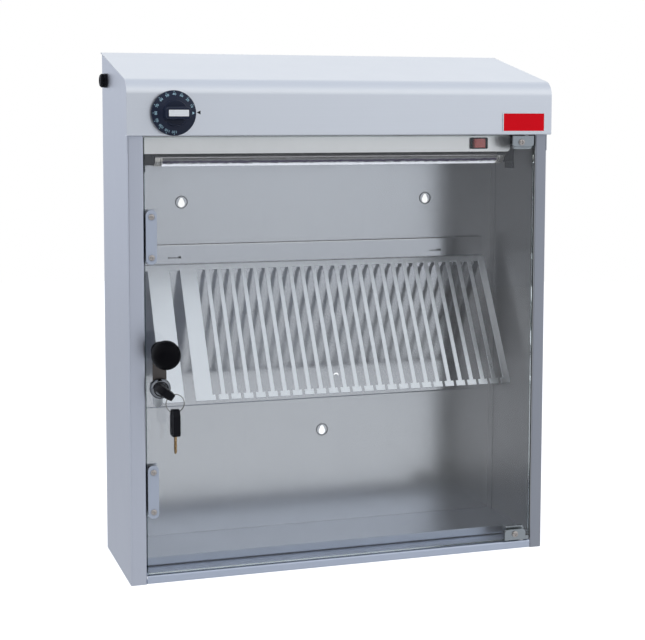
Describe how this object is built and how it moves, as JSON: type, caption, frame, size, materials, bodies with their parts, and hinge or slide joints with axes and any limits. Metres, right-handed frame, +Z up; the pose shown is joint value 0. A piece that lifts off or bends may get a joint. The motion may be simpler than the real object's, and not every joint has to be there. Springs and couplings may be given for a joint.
{
  "type": "ultraviolet knife sterilizing cabinet",
  "caption": "Wall-hung folded steel cabinet with a sloping hood, glass door on pivots, timer dial, switch, tube lamp and a slotted hanging rack.",
  "frame": {"origin": "on the back panel's outer face, on the centre line, at the height of the two upper hanging holes", "axes": "+Z up, -Y out of the front, +X to the viewer's right"},
  "size_m": [0.5198, 0.2086, 0.604],
  "materials": {
    "body_steel": "fine brushed stainless steel",
    "inner_steel": "dull rolled stainless steel",
    "rack_steel": "satin stainless steel",
    "chrome": "bright plated",
    "aluminium": "plain pressed aluminium",
    "mirror_aluminium": "polished reflector sheet",
    "black_plastic": "moulded, slightly glossy",
    "white_plastic": "moulded, matt",
    "red_switch": "translucent red moulding",
    "red_badge": "plain printed film",
    "lamp_glass": "clear quartz glass",
    "door_glass": "clear toughened glass with a green edge",
    "lilac_paint": "satin paint",
    "magnet_ferrite": "bonded ferrite",
    "escutcheon_bronze": "brownish grey",
    "ballast_paint": "white enamel",
    "brass": "bare, cut"
  },
  "bodies": {
    "cabinet": {"left_side_panel": "body_steel", "right_side_panel": "body_steel", "back_panel": "inner_steel", "bottom_panel": "body_steel", "floor_lip": "body_steel", "hood_cover": "body_steel", "ceiling_panel": "inner_steel", "control_fascia": "body_steel", "badge_plate": "red_badge", "cable_gland": "black_plastic", "gland_nut": "black_plastic", "timer_body": "white_plastic", "rocker_housing": "black_plastic", "lampholder_left": "white_plastic", "lampholder_right": "white_plastic", "lamp_reflector": "mirror_aluminium", "ballast": "ballast_paint", "starter": "white_plastic", "starter_socket": "white_plastic", "terminal_block": "white_plastic", "upper_hinge_bush": "white_plastic", "lower_hinge_bush": "white_plastic", "upper_strike_bracket": "body_steel", "lower_strike_bracket": "body_steel"},
    "door": {"door_glass": "door_glass", "upper_hinge_clamp": "chrome", "lower_hinge_clamp": "chrome", "upper_clamp_screw": "chrome", "lower_clamp_screw": "chrome", "upper_hinge_pin": "chrome", "lower_hinge_pin": "chrome", "upper_magnet_plate": "lilac_paint", "lower_magnet_plate": "lilac_paint", "upper_magnet_screw_1": "chrome", "upper_magnet_screw_2": "chrome", "lower_magnet_screw_1": "chrome", "lower_magnet_screw_2": "chrome", "upper_door_magnet": "magnet_ferrite", "lower_door_magnet": "magnet_ferrite", "escutcheon_plate": "escutcheon_bronze", "door_knob": "black_plastic", "knob_screw": "chrome", "lock_barrel": "chrome", "lock_nut": "chrome"},
    "timer_knob": {"timer_shaft": "chrome", "timer_dial": "black_plastic", "timer_grip_insert": "white_plastic"},
    "rocker": {"rocker_button": "red_switch"},
    "lock_core": {"lock_plug": "chrome", "lock_cam": "body_steel", "lock_key": "black_plastic"},
    "ring": {"key_ring": "chrome"},
    "spare_key": {"spare_key_head": "black_plastic", "spare_key_blade": "brass"},
    "rack": {"rack_plate": "rack_steel", "rack_comb": "rack_steel"},
    "lamp": {"lamp_tube": "lamp_glass", "lamp_cap_left": "aluminium", "lamp_cap_right": "aluminium"}
  },
  "joints": [
    {"name": "door_hinge", "type": "hinge", "parent": "cabinet", "child": "door", "pos_m": [0.229, -0.154, -0.1635], "axis": [0, 0, 1], "range_deg": [0, 105]},
    {"name": "timer_turn", "type": "hinge", "parent": "cabinet", "child": "timer_knob", "pos_m": [-0.205, -0.167, 0.1108], "axis": [0, 1, 0], "range_deg": [0, 270]},
    {"name": "rocker_tilt", "type": "hinge", "parent": "cabinet", "child": "rocker", "pos_m": [0.1773, -0.1273, 0.075], "axis": [0, 0, -1], "range_deg": [0, 18]},
    {"name": "lock_turn", "type": "hinge", "parent": "door", "child": "lock_core", "pos_m": [-0.2205, -0.158, -0.19661], "axis": [0, 1, 0], "range_deg": [0, 90]},
    {"name": "ring_swing", "type": "hinge", "parent": "lock_core", "child": "ring", "pos_m": [-0.21611, -0.1926, -0.19992], "axis": [0.8387, 0, 0.5446], "range_deg": [-45, 10]},
    {"name": "spare_key_swing", "type": "hinge", "parent": "ring", "child": "spare_key", "pos_m": [-0.2105, -0.1926, -0.21885], "axis": [1, 0, 0], "range_deg": [-45, 10]},
    {"name": "rack_lift", "type": "slide", "parent": "cabinet", "child": "rack", "axis": [0, 0, 1], "range_m": [0, 0.01]},
    {"name": "lamp_twist", "type": "hinge", "parent": "cabinet", "child": "lamp", "pos_m": [0.004, -0.096, 0.0625], "axis": [1, 0, 0], "range_deg": [0, 90]}
  ]
}
